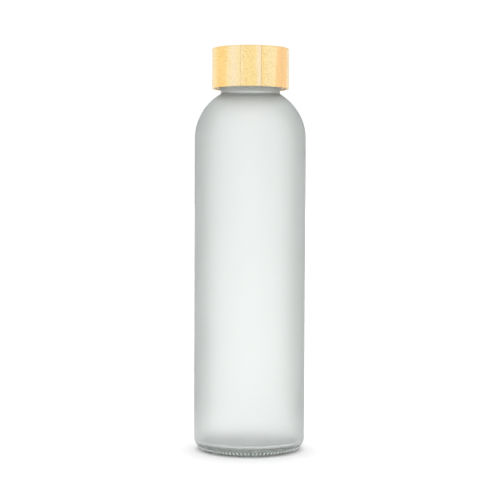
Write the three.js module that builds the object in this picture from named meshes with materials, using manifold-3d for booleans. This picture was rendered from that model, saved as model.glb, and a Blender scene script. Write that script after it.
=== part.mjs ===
// A frosted glass water bottle with a screw cap turned from laminated bamboo.
//
// Millimetres, +Z up. The origin is the centre of the ring that the bottle stands on.
// The pieces are the bottle, the five glued strips of the bamboo shell, the moulded
// thread insert inside the shell, and the soft gasket that seals the rim.
import * as THREE from "three";
import { mergeVertices } from "three/addons/utils/BufferGeometryUtils.js";
import Module from "manifold-3d";

const wasm = await Module();
wasm.setup();

const AROUND = 48; // facets around every turned piece
const QUARTER = Math.PI / 2;
const TURN = 2 * Math.PI;

// Bottle: outside
const BODY_RADIUS = 32.5;
const HEEL_RADIUS = 7.5; // the rounded edge between the wall and the base
const RING_INNER = 23; // the flat ring that the bottle stands on runs from here to the heel
const PUNT_HEIGHT = 3; // how far the underside is pushed up at its middle
const SHOULDER_RADIUS = 30.45;
const SHOULDER_Z = 182.1; // where the straight wall ends
const NECK_RADIUS = 17.3;
const CREASE_FILLET = 0.6; // between the shoulder and the neck
const RIM_Z = 227;
const RIM_OUTER_EDGE = 1.3;
const RIM_INNER_EDGE = 1;

// Bottle: inside
const WALL = 2.8;
const BORE_RADIUS = 14;
const BORE_FILLET = 3;
const INNER_HEEL_RADIUS = 1.5;
const FLOOR_Z = 4.5; // lowest point of the inside
const FLOOR_RISE = 2.2; // the floor's middle is higher by this

// Thread: single start, right hand, six turns to the inch
const LEAD = 25.4 / 6;
const THREAD_TURNS = 1.5;
const THREAD_FADE = 0.12; // turns over which each end of a thread runs out
const THREAD_END_DEPTH = 0.1; // share of a thread's depth left at its very ends, inside the wall
const THREAD_STEPS = THREAD_TURNS * AROUND;
const THREAD_Z = 217.65; // middle of the bottle's thread at its lower end
const THREAD_CREST = 18.6;
const THREAD_SINK = 0.3; // how deep a thread's root is set into its wall
const THREAD_ROOT_HALF = 1.2;
const THREAD_CREST_HALF = 0.45;

// Cap: the bamboo shell
const SHELL_RADIUS = 22.5;
const SHELL_BOTTOM_Z = 211.4;
const SHELL_HEIGHT = 23.4;
const SHELL_BORE = 20.75;
const SHELL_ROOF = 4;
const SHELL_TOP_EDGE = 0.7;
const SHELL_BOTTOM_EDGE = 0.4;
const GLUE_LINES = [-17.75, -5.875, 6, 17.75]; // where the strips meet, across the cap

// Cap: the thread insert. Its heights count up from the shell's lower edge.
const INSERT_RADIUS = 20.2;
const INSERT_BORE = 18.85;
const INSERT_BOTTOM = 0.6;
const INSERT_TOP = 19.2;
const INSERT_ROOF = 1.4;
const INSERT_THREAD_CREST = 17.65;
const INSERT_THREAD_ROOT_HALF = 1.05;
const INSERT_THREAD_CREST_HALF = 0.35;
const THREAD_OFFSET = 1.55; // the insert's thread runs this far below the bottle's
const BEAD_REACH = 0.75; // the bead that keeps the gasket in stands in from the bore by this
const BEAD_HALF = 0.4;
const BEAD_HEIGHT = 15.1;
const RIB_COUNT = 18;
const RIB_REACH = 0.3; // ribs that key the insert into the glue
const RIB_WIDTH = 1.2;

// Gasket: a flat ring over the rim
const GASKET_INNER = 13.4;
const GASKET_OUTER = 18.45;
const GASKET_Z = RIM_Z + 0.25;
const GASKET_THICKNESS = 1.75;
const GASKET_EDGE = 0.3;

const point = (radius, height) => new THREE.Vector2(radius, height);

// Points on a circle's arc, clockwise when it ends at a smaller angle than it starts.
function arc(centre, radius, from, to, steps) {
  return new THREE.EllipseCurve(
    centre.x, centre.y, radius, radius, from, to, to < from,
  ).getPoints(steps);
}

// Half the shallow dome that is `rise` higher on the axis than at `radius`, from the axis outwards.
function dome(radius, height, rise, steps) {
  const sphere = (radius ** 2 + rise ** 2) / (2 * rise);
  const centre = point(0, height + rise - sphere);
  return arc(centre, sphere, QUARTER, QUARTER - Math.asin(radius / sphere), steps);
}

// The shoulder's arc from the body wall up, then the fillet that turns it into an upright wall.
function shoulder(radius, wallRadius, fillet, steps, filletSteps) {
  const centre = point(BODY_RADIUS - SHOULDER_RADIUS, SHOULDER_Z);
  const across = wallRadius + fillet - centre.x;
  const up = Math.sqrt((radius + fillet) ** 2 - across ** 2);
  const angle = Math.atan2(up, across);
  const filletCentre = point(wallRadius + fillet, SHOULDER_Z + up);
  return [
    ...arc(centre, radius, 0, angle, steps),
    ...arc(filletCentre, fillet, angle + Math.PI, Math.PI, filletSteps).slice(1),
  ];
}

// Turns an outline of (radius, height) points about +Z.
function turned(outline) {
  return new THREE.LatheGeometry(outline, AROUND).rotateX(QUARTER);
}

function solidOf(geometry) {
  const bare = new THREE.BufferGeometry()
    .setAttribute("position", geometry.getAttribute("position"))
    .setIndex(geometry.index);
  const merged = mergeVertices(bare, 1e-4);
  return new wasm.Manifold(
    new wasm.Mesh({
      numProp: 3,
      vertProperties: merged.attributes.position.array,
      triVerts: new Uint32Array(merged.index.array),
    }),
  );
}

function geometryOf(solid) {
  const mesh = solid.getMesh();
  return new THREE.BufferGeometry()
    .setAttribute("position", new THREE.BufferAttribute(mesh.vertProperties, 3))
    .setIndex(new THREE.BufferAttribute(mesh.triVerts, 1));
}

// A helical thread that starts at height z. Its section is a trapezoid from the root to the crest.
// The section is extruded along an angle and then wrapped around +Z, and each end sinks into the wall.
function thread({ root, crest, rootHalf, crestHalf, z }) {
  const section = new THREE.Shape([
    point(-rootHalf, root),
    point(rootHalf, root),
    point(crestHalf, crest),
    point(-crestHalf, crest),
  ]);
  const angle = THREAD_TURNS * TURN;
  const geometry = new THREE.ExtrudeGeometry(section, {
    depth: angle,
    steps: THREAD_STEPS,
    bevelEnabled: false,
  });
  const place = geometry.getAttribute("position");
  const fade = THREAD_FADE * TURN;
  for (let i = 0; i < place.count; i++) {
    const along = place.getZ(i);
    const full = THREE.MathUtils.smoothstep(Math.min(along, angle - along), 0, fade);
    const depth = THREE.MathUtils.lerp(THREAD_END_DEPTH, 1, full);
    const radius = root + (place.getY(i) - root) * depth;
    const height = z + place.getX(i) + (LEAD * along) / TURN;
    place.setXYZ(i, radius * Math.cos(along), radius * Math.sin(along), height);
  }
  return geometry;
}

function glassBottle() {
  const heel = point(BODY_RADIUS - HEEL_RADIUS, HEEL_RADIUS);
  const innerRadius = BODY_RADIUS - WALL;
  const innerHeel = point(innerRadius - INNER_HEEL_RADIUS, FLOOR_Z + INNER_HEEL_RADIUS);
  const rimOuter = point(NECK_RADIUS - RIM_OUTER_EDGE, RIM_Z - RIM_OUTER_EDGE);
  const rimInner = point(BORE_RADIUS + RIM_INNER_EDGE, RIM_Z - RIM_INNER_EDGE);
  const outline = [
    ...dome(RING_INNER, 0, PUNT_HEIGHT, 5),
    ...arc(heel, HEEL_RADIUS, -QUARTER, 0, 6),
    ...shoulder(SHOULDER_RADIUS, NECK_RADIUS, CREASE_FILLET, 12, 2),
    ...arc(rimOuter, RIM_OUTER_EDGE, 0, QUARTER, 3),
    ...arc(rimInner, RIM_INNER_EDGE, QUARTER, Math.PI, 3),
    ...shoulder(SHOULDER_RADIUS - WALL, BORE_RADIUS, BORE_FILLET, 10, 3).reverse(),
    ...arc(innerHeel, INNER_HEEL_RADIUS, 0, -QUARTER, 5),
    ...dome(innerHeel.x, FLOOR_Z, FLOOR_RISE, 3).reverse().slice(1),
  ];
  const neckThread = thread({
    root: NECK_RADIUS - THREAD_SINK,
    crest: THREAD_CREST,
    rootHalf: THREAD_ROOT_HALF,
    crestHalf: THREAD_CREST_HALF,
    z: THREAD_Z,
  });
  return geometryOf(solidOf(turned(outline)).add(solidOf(neckThread)));
}

// The whole shell before it is seen as strips: a cup with its mouth down and its edges eased.
function shellSolid() {
  const top = point(SHELL_RADIUS - SHELL_TOP_EDGE, SHELL_HEIGHT - SHELL_TOP_EDGE);
  const outline = [
    point(0, SHELL_HEIGHT - SHELL_ROOF),
    point(SHELL_BORE, SHELL_HEIGHT - SHELL_ROOF),
    point(SHELL_BORE, 0),
    point(SHELL_RADIUS - SHELL_BOTTOM_EDGE, 0),
    point(SHELL_RADIUS, SHELL_BOTTOM_EDGE),
    ...arc(top, SHELL_TOP_EDGE, 0, QUARTER, 3),
    point(0, SHELL_HEIGHT),
  ];
  return solidOf(turned(outline));
}

// The strips run front to back. Each is the slice of the shell between two glue lines.
function bambooStrips() {
  const shell = shellSolid();
  const outside = 24; // past the shell on every side
  const edges = [-outside, ...GLUE_LINES, outside];
  return edges.slice(1).map((right, i) => {
    const left = edges[i];
    const slab = new THREE.BoxGeometry(right - left, 2 * outside, 4 * outside);
    slab.translate((left + right) / 2, 0, 0);
    return geometryOf(shell.intersect(solidOf(slab)));
  });
}

function threadInsert() {
  const ceiling = INSERT_TOP - INSERT_ROOF;
  const outline = [
    point(0, ceiling),
    point(INSERT_BORE, ceiling),
    point(INSERT_BORE, BEAD_HEIGHT + BEAD_HALF),
    point(INSERT_BORE - BEAD_REACH, BEAD_HEIGHT),
    point(INSERT_BORE, BEAD_HEIGHT - BEAD_HALF),
    point(INSERT_BORE, INSERT_BOTTOM),
    point(INSERT_RADIUS, INSERT_BOTTOM),
    point(INSERT_RADIUS, INSERT_TOP),
    point(0, INSERT_TOP),
  ];
  const insertThread = thread({
    root: INSERT_BORE + THREAD_SINK,
    crest: INSERT_THREAD_CREST,
    rootHalf: INSERT_THREAD_ROOT_HALF,
    crestHalf: INSERT_THREAD_CREST_HALF,
    z: THREAD_Z - THREAD_OFFSET - SHELL_BOTTOM_Z,
  });
  let insert = solidOf(turned(outline)).add(solidOf(insertThread));
  const ribHeight = ceiling - 2 * INSERT_BOTTOM;
  for (let i = 0; i < RIB_COUNT; i++) {
    const rib = new THREE.BoxGeometry(2 * RIB_REACH, RIB_WIDTH, ribHeight);
    rib.translate(INSERT_RADIUS, 0, 2 * INSERT_BOTTOM + ribHeight / 2);
    rib.rotateZ((i * TURN) / RIB_COUNT);
    insert = insert.add(solidOf(rib));
  }
  return geometryOf(insert);
}

function sealingGasket() {
  const middle = (GASKET_INNER + GASKET_OUTER) / 2;
  const halfWidth = (GASKET_OUTER - GASKET_INNER) / 2;
  const corners = [
    [-halfWidth + GASKET_EDGE, 0],
    [halfWidth - GASKET_EDGE, 0],
    [halfWidth, GASKET_EDGE],
    [halfWidth, GASKET_THICKNESS - GASKET_EDGE],
    [halfWidth - GASKET_EDGE, GASKET_THICKNESS],
    [-halfWidth + GASKET_EDGE, GASKET_THICKNESS],
    [-halfWidth, GASKET_THICKNESS - GASKET_EDGE],
    [-halfWidth, GASKET_EDGE],
    [-halfWidth + GASKET_EDGE, 0],
  ];
  return turned(corners.map(([across, up]) => point(middle + across, up)));
}

const frostedGlass = new THREE.MeshStandardMaterial({
  color: 0xdfe6e2,
  roughness: 0.55,
  metalness: 0,
  transparent: true,
  opacity: 0.6,
});
const bamboo = new THREE.MeshStandardMaterial({ color: 0xf6dc9f, roughness: 0.6, metalness: 0 });
const whitePlastic = new THREE.MeshStandardMaterial({ color: 0xf1efe8, roughness: 0.4, metalness: 0 });
const silicone = new THREE.MeshStandardMaterial({ color: 0xe9ebe8, roughness: 0.5, metalness: 0 });

function named(name, geometry, material) {
  const mesh = new THREE.Mesh(geometry, material);
  mesh.name = name;
  return mesh;
}

const bottle = named("glass_bottle", glassBottle(), frostedGlass);

const gasket = named("sealing_gasket", sealingGasket(), silicone);
gasket.position.z = GASKET_Z;

const cap = new THREE.Group();
cap.position.z = SHELL_BOTTOM_Z;
cap.add(named("thread_insert", threadInsert(), whitePlastic));
bambooStrips().forEach((strip, i) => cap.add(named(`bamboo_strip_${i + 1}`, strip, bamboo)));

const waterBottle = new THREE.Group();
waterBottle.add(bottle, gasket, cap);

export default waterBottle;
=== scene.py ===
import math

import bmesh
import bpy
import numpy as np
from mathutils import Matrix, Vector


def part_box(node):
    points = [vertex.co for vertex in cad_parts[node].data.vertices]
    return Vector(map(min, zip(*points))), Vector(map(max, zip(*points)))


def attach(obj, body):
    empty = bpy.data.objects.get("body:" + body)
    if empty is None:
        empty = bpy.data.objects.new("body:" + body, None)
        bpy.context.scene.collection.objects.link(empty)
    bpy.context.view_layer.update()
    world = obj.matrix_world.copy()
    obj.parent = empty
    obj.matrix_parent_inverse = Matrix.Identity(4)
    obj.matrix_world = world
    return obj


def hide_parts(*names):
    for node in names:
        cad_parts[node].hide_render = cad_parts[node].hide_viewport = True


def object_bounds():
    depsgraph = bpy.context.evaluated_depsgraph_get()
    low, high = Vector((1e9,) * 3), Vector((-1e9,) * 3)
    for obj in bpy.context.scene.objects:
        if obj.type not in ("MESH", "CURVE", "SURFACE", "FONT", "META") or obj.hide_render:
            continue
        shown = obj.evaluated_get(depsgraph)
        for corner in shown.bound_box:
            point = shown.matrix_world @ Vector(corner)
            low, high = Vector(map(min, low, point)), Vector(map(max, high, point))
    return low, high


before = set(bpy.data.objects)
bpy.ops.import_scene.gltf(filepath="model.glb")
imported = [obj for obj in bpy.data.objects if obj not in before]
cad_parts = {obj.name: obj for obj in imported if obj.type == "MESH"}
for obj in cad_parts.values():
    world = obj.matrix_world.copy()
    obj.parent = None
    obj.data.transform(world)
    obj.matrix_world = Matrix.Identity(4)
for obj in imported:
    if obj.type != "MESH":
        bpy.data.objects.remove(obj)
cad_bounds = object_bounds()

MM = 0.001
TURN = 2 * math.pi
QUARTER = math.pi / 2
SHARP_OVER = math.radians(40)

bottle_low, bottle_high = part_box("glass_bottle")
insert_low, insert_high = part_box("thread_insert")
gasket_low, gasket_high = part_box("sealing_gasket")
strip_names = sorted(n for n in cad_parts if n.startswith("bamboo_strip"))
strip_boxes = [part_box(name) for name in strip_names]
shell_low = Vector([min(low[i] for low, _ in strip_boxes) for i in range(3)])
shell_high = Vector([max(high[i] for _, high in strip_boxes) for i in range(3)])

# Bottle
BODY_RADIUS = bottle_high.x
RIM_Z = bottle_high.z
WALL = 2.8 * MM
HEEL_RADIUS = 7.5 * MM
RING_INNER = 23 * MM
PUNT_HEIGHT = 3 * MM
SHOULDER_RADIUS = 30.45 * MM
SHOULDER_Z = 182.1 * MM
NECK_RADIUS = 17.3 * MM
BORE_RADIUS = 14 * MM
CREASE_FILLET = 0.6 * MM
BORE_FILLET = 3 * MM
INNER_HEEL_RADIUS = 1.5 * MM
FLOOR_Z = 4.5 * MM
FLOOR_RISE = 2.2 * MM
RIM_OUTER_EDGE = 1.3 * MM
RIM_INNER_EDGE = 1 * MM
KNURLS = 84  # bumps around the lower part of the heel
KNURL_FLATNESS = 0.65  # at 0.5 the gaps between the bumps only just reach their full depth
KNURL_DEPTH = 0.6 * MM
KNURL_SLOPE = math.radians(46)  # where the bumps' middle is, down the heel's arc from the wall
KNURL_REACH = math.radians(20)
BOTTLE_AROUND = 7 * KNURLS
NECK_FOOT = 206.6 * MM  # the glass is etched less deeply above this

# Screw thread, shared by the neck and the insert
LEAD = 25.4 / 6 * MM
THREAD_TURNS = 1.5
THREAD_FADE = 0.12  # turns over which each end of a thread runs out
THREAD_Z = 217.65 * MM
THREAD_OFFSET = 1.55 * MM  # how far the insert's thread lies below the neck's
THREAD_DEPTH = 1.3 * MM
THREAD_ROOT_HALF = 1.2 * MM
THREAD_CREST_HALF = 0.45 * MM
INSERT_THREAD_DEPTH = 1.2 * MM
INSERT_THREAD_ROOT_HALF = 1.05 * MM
INSERT_THREAD_CREST_HALF = 0.35 * MM

# Cap
SHELL_BORE = 20.75 * MM
SHELL_ROOF = 4 * MM
SHELL_TOP_EDGE = 0.7 * MM
SHELL_BOTTOM_EDGE = 0.4 * MM
INSERT_BODY_RADIUS = 20.2 * MM
INSERT_BORE = 18.85 * MM
INSERT_ROOF = 1.4 * MM
INSERT_EDGE = 0.25 * MM
RETAINER_Z = shell_low.z + 15.1 * MM  # the bead in the insert's bore that holds the gasket up
RETAINER_DEPTH = 0.75 * MM
RETAINER_HALF = 0.5 * MM
RIB_COUNT = 18
GASKET_INNER = 13.4 * MM
GASKET_EDGE = 0.35 * MM
STRIP_EDGE = 0.08 * MM  # bevel along the glued edges of a strip
CAP_AROUND = 288
GASKET_AROUND = 192

# Etched glass
POLISHED = 0.02  # roughness inside
ETCHED = (0.46, 0.54)  # further roughness outside, varying from place to place
NECK_SMOOTHER = 0.12
BASE_SMOOTHER = 0.2
HEEL_SMOOTHER = 0.1
BASE_TOP = 34 * MM  # the etching gets smoother from here down to BASE_FOOT
BASE_FOOT = 8 * MM
HEEL_FADE = (5.5 * MM, 3.5 * MM)  # and smoother once more over these heights
KNURL_HIGHLIGHT_BELOW = (0.9 * MM, 1.3 * MM)  # the painted highlight on the bumps' tops fades in over these heights
KNURL_HIGHLIGHT_ABOVE = (2.8 * MM, 2.4 * MM)  # and out over these
SCATTER = 0.15  # share of the light that the etched surface scatters back
# Tints of the etched surface, seen square on and at a grazing angle
FILM_DULL = (0.95, 0.965, 0.955)
FILM_BRIGHT = (0.985, 0.995, 0.99)
FILM_GRAZING = (0.785, 0.805, 0.795)
GLASS_COLOUR = (0.50, 0.60, 0.53)
GLASS_DENSITY = 22.0
HIGHLIGHT_LINE_Z = 6.3 * MM  # a fine line of painted highlight around the upper part of the heel
HIGHLIGHT_LINE_STRENGTH = 0.3

# Bamboo
PALE = (0.90, 0.755, 0.50)
STRAW = (0.91, 0.74, 0.40)
GOLD = (0.90, 0.70, 0.31)
HONEY = (0.93, 0.65, 0.24)
ORANGE = (0.91, 0.59, 0.26)
FIBRE_TINT = (0.86, 0.62, 0.30)
BUNDLE_COLOUR = (0.60, 0.36, 0.13)
STREAK_COLOUR = (0.62, 0.38, 0.15)
RAY_COLOUR = (0.88, 0.48, 0.10)
GLUE_COLOUR = (0.58, 0.31, 0.19)
EDGE_COLOUR = (0.66, 0.46, 0.22)
# How often each pattern repeats in a metre along X, Y and Z
WAVER_SCALE = (160, 30, 160)
FIBRE_SCALE = (900, 14, 900)
BUNDLE_SCALE = (1350, 9, 1150)
STREAK_SCALE = (1500, 22, 1500)
RAY_SCALE = (220, 20, 1300)
GLUE_FADE = (0.05 * MM, 0.3 * MM)  # from a strip's edge, where its glue line starts and ends to fade
# What differs from strip to strip, in their order along X. bamboo_material says what each entry is.
TONES = [
    {
        "stops": [(0, PALE), (0.4, STRAW), (0.8, HONEY)],
        "density": [(0, 0.2), (1, 0.6)],
        "glue": (0, 0.15),
        "rays": 0,
    },
    {
        "stops": [(0.2, HONEY), (0.45, STRAW), (0.66, PALE), (1, STRAW)],
        "density": [(0, 0.5), (1, 0.25)],
        "glue": (0.15, 0.3),
        "rays": 0.5,
    },
    {
        "stops": [(0.05, STRAW), (0.35, GOLD), (0.7, GOLD), (0.9, PALE)],
        "density": [(0, 1.0), (0.5, 0.8), (0.75, 0.25), (1, 0.1)],
        "glue": (0.45, 0.5),
        "rays": 0,
    },
    {
        "stops": [(0.1, GOLD), (0.3, STRAW), (0.65, STRAW), (0.85, ORANGE)],
        "density": [(0, 1.0), (0.4, 0.8), (0.7, 0.3), (1, 0.2)],
        "glue": (0.85, 0.3),
        "rays": 0,
    },
    {
        "stops": [(0.2, ORANGE), (0.5, ORANGE), (0.9, PALE)],
        "density": [(0, 0.5), (1, 0.2)],
        "glue": (0.3, 0),
        "rays": 0.3,
    },
]

# Light
SKY_HORIZON = 1.22
SKY_RISE = 1.0  # how much brighter it is overhead
SKY_CORNERS = 1.7  # twice how much dimmer it is halfway between the X and Y directions
BACKDROP = 1.3  # what the camera sees behind the object
FLOOR_HALF = 60.0
FLOOR_DROP = 0.05 * MM  # how far the floor lies under the object, so that their faces don't coincide
FLOOR_LAMP = 1.2
FLOOR_LAMP_SPREAD = math.radians(70)
FLOOR_LAMP_LEAN = math.radians(15)  # from straight overhead towards the back

# Camera
CAMERA_DISTANCE = 0.8
CAMERA_HEIGHT = 0.1458
CAMERA_DOWN = math.radians(2.05)
CAMERA_ROLL = math.radians(-0.254)
CAMERA_LENS = 98.1
CAMERA_REACH = 500


# Meshes


def arc(centre, radius, start, end, steps):
    """Points (radius, height) on a circle's arc between two angles, both ends included."""
    angles = np.linspace(start, end, steps + 1)
    return [(centre[0] + radius * math.cos(a), centre[1] + radius * math.sin(a)) for a in angles]


def line(start, end, steps):
    """Points along a straight stretch, without its two ends."""
    shares = np.linspace(0, 1, steps + 1)[1:-1]
    return [(start[0] + (end[0] - start[0]) * s, start[1] + (end[1] - start[1]) * s) for s in shares]


def dome(radius, height, rise, steps):
    """Half of a shallow dome from the axis outwards, `rise` higher on the axis than at its radius."""
    sphere = (radius**2 + rise**2) / (2 * rise)
    centre = (0, height + rise - sphere)
    return arc(centre, sphere, QUARTER, QUARTER - math.asin(radius / sphere), steps)


def shoulder(radius, wall_radius, fillet, steps, fillet_steps):
    """The shoulder's arc up from the wall, then the fillet that turns it into an upright wall."""
    centre = (BODY_RADIUS - SHOULDER_RADIUS, SHOULDER_Z)
    across = wall_radius + fillet - centre[0]
    up = math.sqrt((radius + fillet) ** 2 - across**2)
    angle = math.atan2(up, across)
    fillet_centre = (wall_radius + fillet, SHOULDER_Z + up)
    turn = arc(fillet_centre, fillet, angle + math.pi, math.pi, fillet_steps)
    return arc(centre, radius, 0, angle, steps) + turn[1:]


def smooth(x):
    """Smoothstep of x held between 0 and 1."""
    x = np.clip(x, 0, 1)
    return x * x * (3 - 2 * x)


def thread_relief(angle, z, start_z, root_half, crest_half):
    """How far the thread stands out of its wall, from 0 to 1, for a grid of angles and heights."""
    relief = np.zeros(np.broadcast(angle, z).shape)
    for turn in range(math.ceil(THREAD_TURNS)):
        along = angle / TURN + turn
        ends = smooth(along / THREAD_FADE) * smooth((THREAD_TURNS - along) / THREAD_FADE)
        away = np.abs(z - start_z - LEAD * along)
        relief = np.maximum(relief, ends * smooth((root_half - away) / (root_half - crest_half)))
    return relief


def turned(name, outline, around, relief=None, outer_rows=0):
    """A closed mesh turned about Z from an outline that starts and ends on the axis, or closes on itself.

    relief(angle, radius, z, row) gives the new radius and z of the whole grid of points. The points
    of the first outer_rows rows get the value 1 in the mesh's attribute `outside`."""
    points = np.array(outline)
    angle = np.arange(around)[None, :] * TURN / around
    radius = np.repeat(points[:, :1], around, axis=1)
    z = np.repeat(points[:, 1:], around, axis=1)
    if relief:
        radius, z = relief(angle, radius, z, np.arange(len(points))[:, None])
    grid = np.stack([radius * np.cos(angle), radius * np.sin(angle), z], axis=-1)
    places, rings, outside = [], [], []
    for row, ring in enumerate(grid):
        count = around if points[row, 0] > 0 else 1
        rings.append([len(places) + j % count for j in range(around)])
        places += ring[:count].tolist()
        outside += [float(row < outer_rows)] * count
    if points[0, 0] > 0:
        rings.append(rings[0])
    faces = []
    for below, above in zip(rings, rings[1:]):
        for j in range(around):
            k = (j + 1) % around
            faces.append(list(dict.fromkeys((below[j], below[k], above[k], above[j]))))
    mesh = bpy.data.meshes.new(name)
    mesh.from_pydata(places, [], faces)
    mesh.attributes.new("outside", "FLOAT", "POINT").data.foreach_set("value", outside)
    return mesh


def place(name, mesh, material, node, body):
    """Puts a mesh into the scene in place of a CAD node."""
    mesh.polygons.foreach_set("use_smooth", [True] * len(mesh.polygons))
    mesh.set_sharp_from_angle(angle=SHARP_OVER)
    mesh.materials.append(material)
    piece = bpy.data.objects.new(name, mesh)
    bpy.context.scene.collection.objects.link(piece)
    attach(piece, body)
    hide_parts(node)
    return piece


# Materials


class Nodes:
    """Short calls that add nodes to a new material or world and wire their inputs."""

    def __init__(self, owner):
        self.owner = owner
        owner.use_nodes = True
        self.tree = owner.node_tree
        self.tree.nodes.clear()

    def add(self, kind, inputs=None, **settings):
        node = self.tree.nodes.new(kind)
        for key, value in settings.items():
            setattr(node, key, value)
        for key, value in (inputs or {}).items():
            if isinstance(value, bpy.types.NodeSocket):
                self.tree.links.new(value, node.inputs[key])
            else:
                node.inputs[key].default_value = value
        return node

    def math(self, operation, a, b=0.0):
        return self.add("ShaderNodeMath", {0: a, 1: b}, operation=operation).outputs[0]

    def ramp(self, value, stops):
        """A colour ramp. stops are (position, colour) pairs."""
        node = self.add("ShaderNodeValToRGB", {"Fac": value})
        node.color_ramp.interpolation = "EASE"
        elements = node.color_ramp.elements
        while len(elements) < len(stops):
            elements.new(0.5)
        for element, (position, colour) in zip(elements, stops):
            element.position = position
            element.color = (*colour, 1)
        return node.outputs["Color"]

    def remap(self, value, low, high, to_low=0.0, to_high=1.0):
        """A smooth step from to_low, where value is low, to to_high, where it is high."""
        inputs = {"Value": value, "From Min": low, "From Max": high, "To Min": to_low, "To Max": to_high}
        return self.add("ShaderNodeMapRange", inputs, interpolation_type="SMOOTHSTEP").outputs["Result"]

    def mix(self, share, a, b, blend="MIX"):
        node = self.add("ShaderNodeMix", {"Factor": share}, data_type="RGBA", blend_type=blend)
        for socket, value in ((node.inputs[6], a), (node.inputs[7], b)):
            if isinstance(value, bpy.types.NodeSocket):
                self.tree.links.new(value, socket)
            else:
                socket.default_value = (*value, 1)
        return node.outputs[2]

    def noise(self, vector, scale, detail=2.0, roughness=0.5):
        inputs = {"Vector": vector, "Scale": scale, "Detail": detail, "Roughness": roughness}
        return self.add("ShaderNodeTexNoise", inputs).outputs["Fac"]

    def point(self):
        """The point on the piece, in metres in the object's frame."""
        return self.add("ShaderNodeTexCoord").outputs["Object"]

    def scaled(self, vector, scale):
        return self.add("ShaderNodeVectorMath", {0: vector, 1: scale}, operation="MULTIPLY").outputs[0]

    def finish(self, surface, volume=None):
        """Wires up the material's output and gives the material."""
        out = self.add("ShaderNodeOutputMaterial", {"Surface": surface.outputs[0]})
        if volume:
            self.tree.links.new(volume.outputs[0], out.inputs["Volume"])
        return self.owner


def glass_material():
    """Pale grey-green glass, smooth inside. Its etched outside also scatters some light back."""
    n = Nodes(bpy.data.materials.new("frosted_glass"))
    at = n.point()
    x, y, z = n.add("ShaderNodeSeparateXYZ", {0: at}).outputs
    outside = n.add("ShaderNodeAttribute", attribute_name="outside").outputs["Fac"]
    cloud = n.noise(at, 28, 3)
    grain = n.noise(at, 2600, 2)

    etched = n.remap(cloud, 0.3, 0.7, *ETCHED)
    for where, smoother in (
        (n.remap(z, NECK_FOOT - 0.2 * MM, NECK_FOOT + 0.2 * MM), NECK_SMOOTHER),
        (n.remap(z, BASE_TOP, BASE_FOOT), BASE_SMOOTHER),
        (n.remap(z, *HEEL_FADE), HEEL_SMOOTHER),
    ):
        etched = n.math("SUBTRACT", etched, n.math("MULTIPLY", where, smoother))
    roughness = n.math("ADD", n.math("MULTIPLY", outside, etched), POLISHED)

    # Painted highlights: the bumps' tops and a fine line above them are made pale and white, and scatter
    # light instead of letting it through.
    turn = n.math("MULTIPLY", n.math("ARCTAN2", y, x), KNURLS)
    top = n.remap(n.math("COSINE", turn), 0.2, 0.7)
    ring = n.math("MULTIPLY", n.remap(z, *KNURL_HIGHLIGHT_BELOW), n.remap(z, *KNURL_HIGHLIGHT_ABOVE))
    highlight_line = n.remap(n.math("ABSOLUTE", n.math("SUBTRACT", z, HIGHLIGHT_LINE_Z)), 0.7 * MM, 0.1 * MM)
    pale = n.math("MAXIMUM", n.math("MULTIPLY", top, ring), n.math("MULTIPLY", highlight_line, HIGHLIGHT_LINE_STRENGTH))
    clear = n.math("MULTIPLY", n.math("SUBTRACT", 1.0, pale), 1 - SCATTER)

    facing = n.add("ShaderNodeLayerWeight", {"Blend": 0.5}).outputs["Facing"]
    film = n.mix(cloud, FILM_DULL, FILM_BRIGHT)
    film = n.mix(n.remap(facing, 0.08, 0.45), film, FILM_GRAZING)
    tint = n.mix(outside, FILM_BRIGHT, film)
    # The painted highlights turn the tint white.
    tint = n.mix(pale, tint, (1, 1, 1))

    height = n.math("MULTIPLY", grain, outside)
    bump = n.add("ShaderNodeBump", {"Height": height, "Strength": 0.12, "Distance": 0.05 * MM})
    surface = n.add("ShaderNodeBsdfPrincipled", {
        "Base Color": tint,
        "Roughness": roughness,
        "Normal": bump.outputs[0],
        "IOR": 1.5,
        "Transmission Weight": n.remap(outside, 0, 1, 1.0, clear),
    })
    volume = n.add("ShaderNodeVolumeAbsorption", {"Color": (*GLASS_COLOUR, 1), "Density": GLASS_DENSITY})
    return n.finish(surface, volume)


def plastic_material():
    n = Nodes(bpy.data.materials.new("white_plastic"))
    at = n.point()
    fine = n.noise(at, 1800, 3)
    broad = n.noise(at, 60, 2)
    colour = n.mix(broad, (0.90, 0.90, 0.87), (0.94, 0.94, 0.92))
    roughness = n.remap(fine, 0.2, 0.8, 0.34, 0.46)
    bump = n.add("ShaderNodeBump", {"Height": fine, "Strength": 0.15, "Distance": 0.05 * MM})
    return n.finish(n.add("ShaderNodeBsdfPrincipled", {
        "Base Color": colour,
        "Roughness": roughness,
        "Normal": bump.outputs[0],
        "Subsurface Weight": 0.15,
        "Subsurface Scale": 1 * MM,
    }))


def silicone_material():
    n = Nodes(bpy.data.materials.new("silicone"))
    at = n.point()
    fine = n.noise(at, 900, 3)
    colour = n.mix(fine, (0.74, 0.76, 0.75), (0.82, 0.83, 0.82))
    roughness = n.remap(fine, 0.2, 0.8, 0.42, 0.56)
    bump = n.add("ShaderNodeBump", {"Height": fine, "Strength": 0.1, "Distance": 0.05 * MM})
    return n.finish(n.add("ShaderNodeBsdfPrincipled", {
        "Base Color": colour,
        "Roughness": roughness,
        "Normal": bump.outputs[0],
        "Subsurface Weight": 0.35,
        "Subsurface Scale": 2 * MM,
        "IOR": 1.41,
    }))


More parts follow.
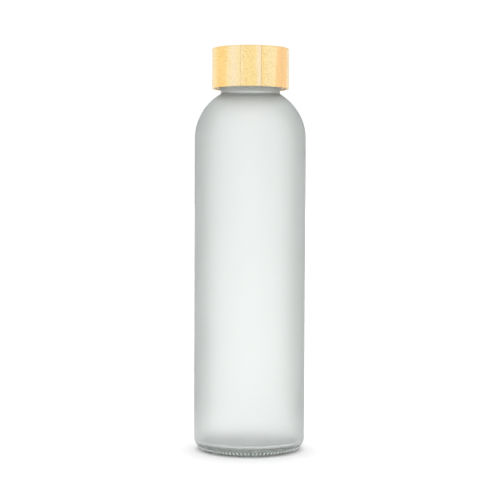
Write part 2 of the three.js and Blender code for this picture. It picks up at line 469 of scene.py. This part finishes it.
def bamboo_material(name, left, right, tone):
    """One glued strip. Its fibres run along Y, and X crosses the wall of the culm that it was cut from.

    tone holds, from the strip's left edge to its right edge, stops of colour and of how dense the dark
    fibre bundles are. Its glue is how dark the glue line is at each edge, and its rays how strong the
    short streaks along X are."""
    n = Nodes(bpy.data.materials.new(name))
    at = n.point()
    x, y, z = n.add("ShaderNodeSeparateXYZ", {0: at}).outputs
    span = {"Value": x, "From Min": left, "From Max": right}
    across = n.add("ShaderNodeMapRange", span).outputs["Result"]
    waver = n.noise(n.scaled(at, WAVER_SCALE), 1, 2)
    across = n.math("ADD", across, n.remap(waver, 0.2, 0.8, -0.06, 0.06))
    base = n.ramp(across, tone["stops"])
    density = n.ramp(across, [(position, (share,) * 3) for position, share in tone["density"]])

    # The bundles are cells in the XZ plane, drawn out along Y.
    fibre = n.noise(n.scaled(at, FIBRE_SCALE), 1, 3)
    cell = {"Vector": n.scaled(at, BUNDLE_SCALE), "Scale": 1.0, "Randomness": 0.85}
    cells = n.add("ShaderNodeTexVoronoi", cell).outputs["Distance"]
    dots = n.math("MULTIPLY", n.remap(cells, 0.46, 0.22), density)
    streak = n.noise(n.scaled(at, STREAK_SCALE), 1, 2)
    rays = n.noise(n.scaled(at, RAY_SCALE), 1, 2)
    rays = n.math("MULTIPLY", n.remap(rays, 0.5, 0.72, 0.0, tone["rays"]), n.remap(across, 0.6, 0.3))

    fibre_tone = n.mix(0.5, base, FIBRE_TINT, "MULTIPLY")
    colour = n.mix(n.remap(fibre, 0.3, 0.75, 0.0, 0.5), base, fibre_tone)
    colour = n.mix(n.math("MULTIPLY", dots, 0.65), colour, BUNDLE_COLOUR)
    colour = n.mix(n.remap(streak, 0.62, 0.8, 0.0, 0.35), colour, STREAK_COLOUR)
    colour = n.mix(rays, colour, RAY_COLOUR)

    start, end = GLUE_FADE
    glue_left = n.remap(x, left + end, left + start, 0.0, tone["glue"][0])
    glue_right = n.remap(x, right - end, right - start, 0.0, tone["glue"][1])
    colour = n.mix(n.math("MAXIMUM", glue_left, glue_right), colour, GLUE_COLOUR)

    # The rounded top edge is a little darker.
    rounded = n.math(
        "MULTIPLY",
        n.remap(z, shell_high.z - 1.1 * MM, shell_high.z - 0.5 * MM),
        n.remap(z, shell_high.z - 0.02 * MM, shell_high.z - 0.15 * MM),
    )
    colour = n.mix(n.math("MULTIPLY", rounded, 0.4), colour, EDGE_COLOUR)

    height = n.math("ADD", n.math("MULTIPLY", dots, -0.6), fibre)
    bump = n.add("ShaderNodeBump", {"Height": height, "Strength": 0.25, "Distance": 0.1 * MM})
    return n.finish(n.add("ShaderNodeBsdfPrincipled", {
        "Base Color": colour,
        "Roughness": n.remap(fibre, 0.2, 0.8, 0.42, 0.6),
        "Normal": bump.outputs[0],
        "Specular IOR Level": 0.4,
    }))


# Pieces. In each outline, a call's last number is the count of its steps. shoulder() has two counts.


def glass_bottle():
    heel = (BODY_RADIUS - HEEL_RADIUS, HEEL_RADIUS)
    inner_radius = BODY_RADIUS - WALL
    inner_heel = (inner_radius - INNER_HEEL_RADIUS, FLOOR_Z + INNER_HEEL_RADIUS)
    rim_outer = (NECK_RADIUS - RIM_OUTER_EDGE, RIM_Z - RIM_OUTER_EDGE)
    rim_inner = (BORE_RADIUS + RIM_INNER_EDGE, RIM_Z - RIM_INNER_EDGE)
    outer_shoulder = shoulder(SHOULDER_RADIUS, NECK_RADIUS, CREASE_FILLET, 40, 6)
    inner_shoulder = shoulder(SHOULDER_RADIUS - WALL, BORE_RADIUS, BORE_FILLET, 28, 8)[::-1]
    outside = [
        *dome(RING_INNER, 0, PUNT_HEIGHT, 10),
        *line((RING_INNER, 0), (heel[0], 0), 4),
        *arc(heel, HEEL_RADIUS, -QUARTER, 0, 36),
        *line((BODY_RADIUS, heel[1]), (BODY_RADIUS, SHOULDER_Z), 8),
        *outer_shoulder,
        *line(outer_shoulder[-1], (NECK_RADIUS, rim_outer[1]), 62),
        *arc(rim_outer, RIM_OUTER_EDGE, 0, QUARTER, 6),
    ]
    inside = [
        *arc(rim_inner, RIM_INNER_EDGE, QUARTER, math.pi, 6),
        *line((BORE_RADIUS, rim_inner[1]), inner_shoulder[0], 5),
        *inner_shoulder,
        *line((inner_radius, SHOULDER_Z), (inner_radius, inner_heel[1]), 8),
        *arc(inner_heel, INNER_HEEL_RADIUS, 0, -QUARTER, 16),
        *dome(inner_heel[0], FLOOR_Z, FLOOR_RISE, 8)[::-1][1:],
    ]
    crease_z = outer_shoulder[-1][1]

    def relief(angle, radius, z, row):
        is_outside = row < len(outside)
        on_neck = is_outside & (z > crease_z)
        screw = thread_relief(angle, z, THREAD_Z, THREAD_ROOT_HALF, THREAD_CREST_HALF)
        radius = radius + np.where(on_neck, screw * THREAD_DEPTH, 0)
        # The gaps between the bumps are pushed inwards, square to the heel's arc.
        slope = np.arctan2(HEEL_RADIUS - z, radius - heel[0])
        knurled = smooth(2 - 2 * np.abs(slope - KNURL_SLOPE) / KNURL_REACH)
        between = smooth(KNURL_FLATNESS * (1 - np.cos(angle * KNURLS)))
        depth = np.where(is_outside & (z < HEEL_RADIUS), knurled * between * KNURL_DEPTH, 0)
        radius = radius - depth * np.cos(slope)
        z = z + depth * np.sin(slope)
        return radius, z

    return turned("glass_bottle", outside + inside, BOTTLE_AROUND, relief, len(outside))


def thread_insert():
    top = insert_high.z
    bottom = insert_low.z
    ceiling = top - INSERT_ROOF
    rib_height = insert_high.x - INSERT_BODY_RADIUS
    edge = INSERT_EDGE
    roof = [(0, ceiling), *line((0, ceiling), (INSERT_BORE, ceiling), 6), (INSERT_BORE, ceiling)]
    bore = line((INSERT_BORE, ceiling), (INSERT_BORE, bottom), 66)
    lip = [
        *arc((INSERT_BORE + edge, bottom + edge), edge, math.pi, 1.5 * math.pi, 3),
        *arc((INSERT_BODY_RADIUS - edge, bottom + edge), edge, 1.5 * math.pi, TURN, 3),
    ]
    body = [
        *line((INSERT_BODY_RADIUS, bottom), (INSERT_BODY_RADIUS, top), 10),
        *arc((INSERT_BODY_RADIUS - edge, top - edge), edge, 0, QUARTER, 3),
        *line((INSERT_BODY_RADIUS - edge, top), (0, top), 4),
        (0, top),
    ]

    def relief(angle, radius, z, row):
        on_bore = (row >= len(roof)) & (row < len(roof) + len(bore))
        screw = thread_relief(
            angle, z, THREAD_Z - THREAD_OFFSET, INSERT_THREAD_ROOT_HALF, INSERT_THREAD_CREST_HALF
        )
        retainer = smooth(1 - np.abs(z - RETAINER_Z) / RETAINER_HALF) * RETAINER_DEPTH
        radius = radius - np.where(on_bore, np.maximum(screw * INSERT_THREAD_DEPTH, retainer), 0)
        rib = smooth(3 * np.cos(angle * RIB_COUNT) - 2)
        past_lip = row >= len(roof) + len(bore) + len(lip) - 1
        on_outer_wall = past_lip & (z > bottom + 2 * edge) & (z < top - 2 * edge)
        radius = radius + np.where(on_outer_wall, rib * rib_height, 0)
        return radius, z

    return turned("thread_insert", roof + bore + lip + body, CAP_AROUND, relief)


def sealing_gasket():
    inner, outer = GASKET_INNER, gasket_high.x
    low, high = gasket_low.z, gasket_high.z
    edge = GASKET_EDGE
    outline = [
        *arc((outer - edge, low + edge), edge, -QUARTER, 0, 5),
        *arc((outer - edge, high - edge), edge, 0, QUARTER, 5),
        *arc((inner + edge, high - edge), edge, QUARTER, math.pi, 5),
        *arc((inner + edge, low + edge), edge, math.pi, 1.5 * math.pi, 5),
    ]
    return turned("sealing_gasket", outline, GASKET_AROUND)


def bamboo_shell():
    """The whole turned shell, before the strips are cut from it."""
    radius = shell_high.y
    low, high = shell_low.z, shell_high.z
    ceiling = high - SHELL_ROOF
    outline = [
        (0, ceiling),
        *line((0, ceiling), (SHELL_BORE, ceiling), 4),
        (SHELL_BORE, ceiling),
        *line((SHELL_BORE, ceiling), (SHELL_BORE, low), 6),
        (SHELL_BORE, low),
        *arc((radius - SHELL_BOTTOM_EDGE, low + SHELL_BOTTOM_EDGE), SHELL_BOTTOM_EDGE, -QUARTER, 0, 5),
        *line((radius, low), (radius, high), 8)[1:-1],
        *arc((radius - SHELL_TOP_EDGE, high - SHELL_TOP_EDGE), SHELL_TOP_EDGE, 0, QUARTER, 7),
        *line((radius - SHELL_TOP_EDGE, high), (0, high), 6),
        (0, high),
    ]
    return turned("bamboo_shell", outline, CAP_AROUND)


def cut_strip(shell, name, left, right):
    """The slice of the shell between two planes square to X, with its cut faces closed."""
    bm = bmesh.new()
    bm.from_mesh(shell)
    for x, side in ((left, -1), (right, 1)):
        at_shell_edge = abs(x) > shell_high.x - 0.1 * MM
        if at_shell_edge:
            continue
        parts = bm.verts[:] + bm.edges[:] + bm.faces[:]
        cut = bmesh.ops.bisect_plane(
            bm, geom=parts, dist=1e-7, plane_co=(x, 0, 0), plane_no=(side, 0, 0), clear_outer=True
        )["geom_cut"]
        edges = [e for e in cut if isinstance(e, bmesh.types.BMEdge)]
        bmesh.ops.triangle_fill(bm, edges=edges, use_beauty=True)
    bmesh.ops.recalc_face_normals(bm, faces=bm.faces[:])
    mesh = bpy.data.meshes.new(name)
    bm.to_mesh(mesh)
    bm.free()
    return mesh


place("glass_bottle_fine", glass_bottle(), glass_material(), "glass_bottle", "bottle")
place("thread_insert_fine", thread_insert(), plastic_material(), "thread_insert", "cap")
place("sealing_gasket_fine", sealing_gasket(), silicone_material(), "sealing_gasket", "seal")

shell = bamboo_shell()
for name, (low, high), tone in zip(strip_names, strip_boxes, TONES):
    strip = cut_strip(shell, name, low.x, high.x)
    material = bamboo_material(name, low.x, high.x, tone)
    piece = place(name + "_fine", strip, material, name, "cap")
    eased = piece.modifiers.new("eased_edges", "BEVEL")
    eased.width = STRIP_EDGE
    eased.segments = 2
    eased.angle_limit = math.radians(50)


# Stage, light and camera


def studio_world():
    """Even white light, a little dimmer towards the four corners of the room, and a white backdrop."""
    world = bpy.data.worlds.new("studio")
    n = Nodes(world)
    direction = n.add("ShaderNodeTexCoord").outputs["Generated"]
    x, y, z = n.add("ShaderNodeSeparateXYZ", {0: direction}).outputs
    rise = n.math("MULTIPLY", n.math("MAXIMUM", z, 0.0), SKY_RISE)
    corner = n.math("MULTIPLY", n.math("ABSOLUTE", n.math("MULTIPLY", x, y)), SKY_CORNERS)
    strength = n.math("SUBTRACT", n.math("ADD", SKY_HORIZON, rise), corner)
    lit = n.add("ShaderNodeBackground", {"Strength": strength}).outputs[0]
    backdrop = n.add("ShaderNodeBackground", {"Strength": BACKDROP}).outputs[0]
    from_camera = n.add("ShaderNodeLightPath").outputs["Is Camera Ray"]
    blend = n.add("ShaderNodeMixShader", {0: from_camera, 1: lit, 2: backdrop}).outputs[0]
    n.add("ShaderNodeOutputWorld", {"Surface": blend})
    bpy.context.scene.world = world


def studio_floor():
    """A wide, plain, pale floor."""
    n = Nodes(bpy.data.materials.new("studio_floor"))
    fine = n.noise(n.point(), 40, 2)
    pale = n.mix(fine, (0.75, 0.75, 0.75), (0.77, 0.77, 0.77))
    material = n.finish(n.add("ShaderNodeBsdfPrincipled", {"Base Color": pale, "Roughness": 0.9}))
    mesh = bpy.data.meshes.new("floor")
    level = cad_bounds[0][2] - FLOOR_DROP
    corners = [(x * FLOOR_HALF, y * FLOOR_HALF, level) for x, y in ((-1, -1), (1, -1), (1, 1), (-1, 1))]
    mesh.from_pydata(corners, [], [(0, 1, 2, 3)])
    mesh.materials.append(material)
    floor = bpy.data.objects.new("floor", mesh)
    bpy.context.scene.collection.objects.link(floor)
    return floor


def floor_lamp(floor):
    """A wide soft lamp from overhead and a little behind, which lights only the floor.

    It lifts the floor to white around the bottle, and the glass casts a full shadow in it."""
    data = bpy.data.lights.new("floor_lamp", "SUN")
    data.energy = FLOOR_LAMP
    data.angle = FLOOR_LAMP_SPREAD
    data.cycles.use_multiple_importance_sampling = False
    lamp = bpy.data.objects.new("floor_lamp", data)
    lamp.rotation_euler = (-FLOOR_LAMP_LEAN, 0, 0)
    bpy.context.scene.collection.objects.link(lamp)
    lit = bpy.data.collections.new("lit_by_floor_lamp")
    lit.objects.link(floor)
    lamp.light_linking.receiver_collection = lit


def camera():
    data = bpy.data.cameras.new("camera")
    data.lens = CAMERA_LENS
    data.clip_end = CAMERA_REACH
    eye = bpy.data.objects.new("camera", data)
    eye.location = (0, -CAMERA_DISTANCE, CAMERA_HEIGHT)
    eye.rotation_euler = (QUARTER - CAMERA_DOWN, CAMERA_ROLL, 0)
    bpy.context.scene.collection.objects.link(eye)
    bpy.context.scene.camera = eye


studio_world()
floor_lamp(studio_floor())
camera()
bpy.context.scene.view_settings.view_transform = "Standard"
